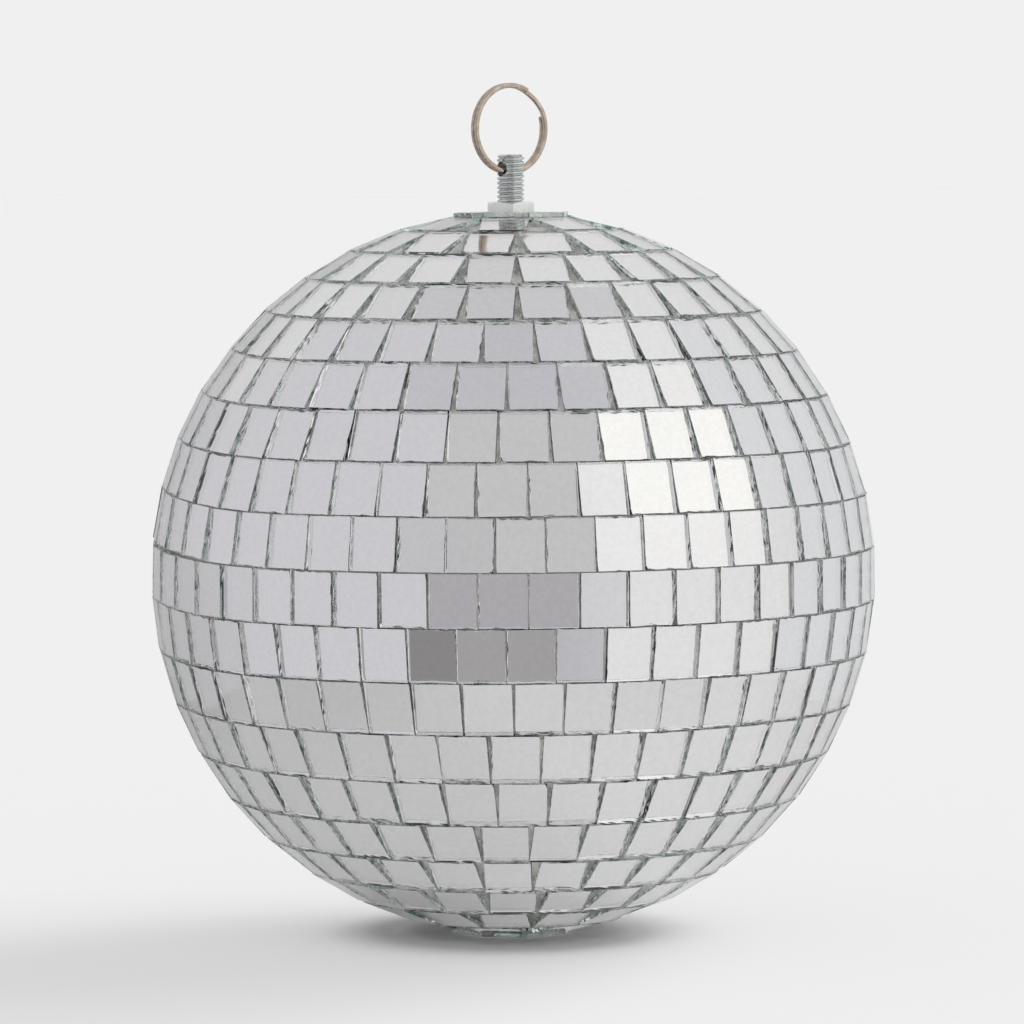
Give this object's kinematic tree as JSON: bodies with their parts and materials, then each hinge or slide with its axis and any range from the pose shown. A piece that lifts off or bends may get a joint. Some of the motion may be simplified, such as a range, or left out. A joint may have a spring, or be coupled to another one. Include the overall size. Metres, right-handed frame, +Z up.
{
  "type": "mirror ball",
  "caption": "Mirror ball: a hollow two-part core covered in rows of flat mirror tiles, hung from a split ring through a cross-drilled threaded stud",
  "frame": {"origin": "The middle of the cross hole in the hanger stud, on the ball's axis, where the ball is hung", "axes": "+Z points up along the stud and the ball's axis. The ring stands in the XZ plane, and the cross hole runs along X."},
  "size_m": [0.1602, 0.1603, 0.1883],
  "materials": {
    "mirror_glass": "silvered float glass tiles, faintly green at the cut edges",
    "core_plastic": "moulded plastic under grey adhesive",
    "zinc_steel": "zinc-plated steel",
    "nickel_ring": "warm nickel-plated spring wire"
  },
  "bodies": {
    "ball": {"mirror_row_01": "mirror_glass", "mirror_row_02": "mirror_glass", "mirror_row_03": "mirror_glass", "mirror_row_04": "mirror_glass", "mirror_row_05": "mirror_glass", "mirror_row_06": "mirror_glass", "mirror_row_07": "mirror_glass", "mirror_row_08": "mirror_glass", "mirror_row_09": "mirror_glass", "mirror_row_10": "mirror_glass", "mirror_row_11": "mirror_glass", "mirror_row_12": "mirror_glass", "mirror_row_13": "mirror_glass", "mirror_row_14": "mirror_glass", "mirror_row_15": "mirror_glass", "mirror_row_16": "mirror_glass", "mirror_row_17": "mirror_glass", "mirror_row_18": "mirror_glass", "mirror_row_19": "mirror_glass", "top_cap_tiles": "mirror_glass", "bottom_cap_tiles": "mirror_glass", "core_upper_shell": "core_plastic", "core_lower_shell": "core_plastic", "hanger_stud": "zinc_steel", "top_nut": "zinc_steel", "anchor_plate": "zinc_steel", "anchor_nut": "zinc_steel"},
    "ring": {"split_ring": "nickel_ring"}
  },
  "joints": [
    {"name": "ring_swing", "type": "hinge", "parent": "ball", "child": "ring", "pos_m": [0, 0, 0], "axis": [1, 0, 0], "range_deg": [-120, 120]}
  ]
}
